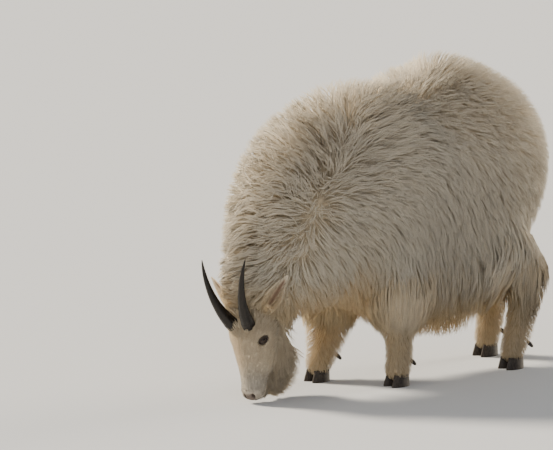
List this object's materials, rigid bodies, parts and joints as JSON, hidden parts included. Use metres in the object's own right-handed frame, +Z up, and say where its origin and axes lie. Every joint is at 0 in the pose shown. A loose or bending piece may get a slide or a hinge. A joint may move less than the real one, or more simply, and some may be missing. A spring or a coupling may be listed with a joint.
{
  "type": "mountain goat",
  "caption": "Adult mountain goat in full winter coat, standing with its head down to graze, one forefoot ahead; black curved horns, beard, shaggy mane and chaps.",
  "frame": {"origin": "centre of the bounding box in plan, on the floor that the soles stand on", "axes": "+Z up; the animal faces -Y, its left side is +X"},
  "size_m": [0.5356, 1.461, 1.0973],
  "materials": {
    "coat": "long creamy white hair, matt",
    "horn": "polished black keratin, ringed at the base",
    "hoof": "dull dark keratin",
    "eye": "wet, dark amber brown"
  },
  "bodies": {
    "root": {"trunk": "coat", "neck": "coat", "head": "coat", "beard": "coat", "tail": "coat", "leg_front_left": "coat", "leg_front_right": "coat", "leg_hind_left": "coat", "leg_hind_right": "coat", "ear_left": "coat", "horn_left": "horn", "eye_left": "eye", "ear_right": "coat", "horn_right": "horn", "eye_right": "eye", "hoof_front_left_outer": "hoof", "dewclaw_front_left_outer": "hoof", "hoof_front_left_inner": "hoof", "dewclaw_front_left_inner": "hoof", "hoof_front_right_outer": "hoof", "dewclaw_front_right_outer": "hoof", "hoof_front_right_inner": "hoof", "dewclaw_front_right_inner": "hoof", "hoof_hind_left_outer": "hoof", "dewclaw_hind_left_outer": "hoof", "hoof_hind_left_inner": "hoof", "dewclaw_hind_left_inner": "hoof", "hoof_hind_right_outer": "hoof", "dewclaw_hind_right_outer": "hoof", "hoof_hind_right_inner": "hoof", "dewclaw_hind_right_inner": "hoof"}
  },
  "joints": []
}
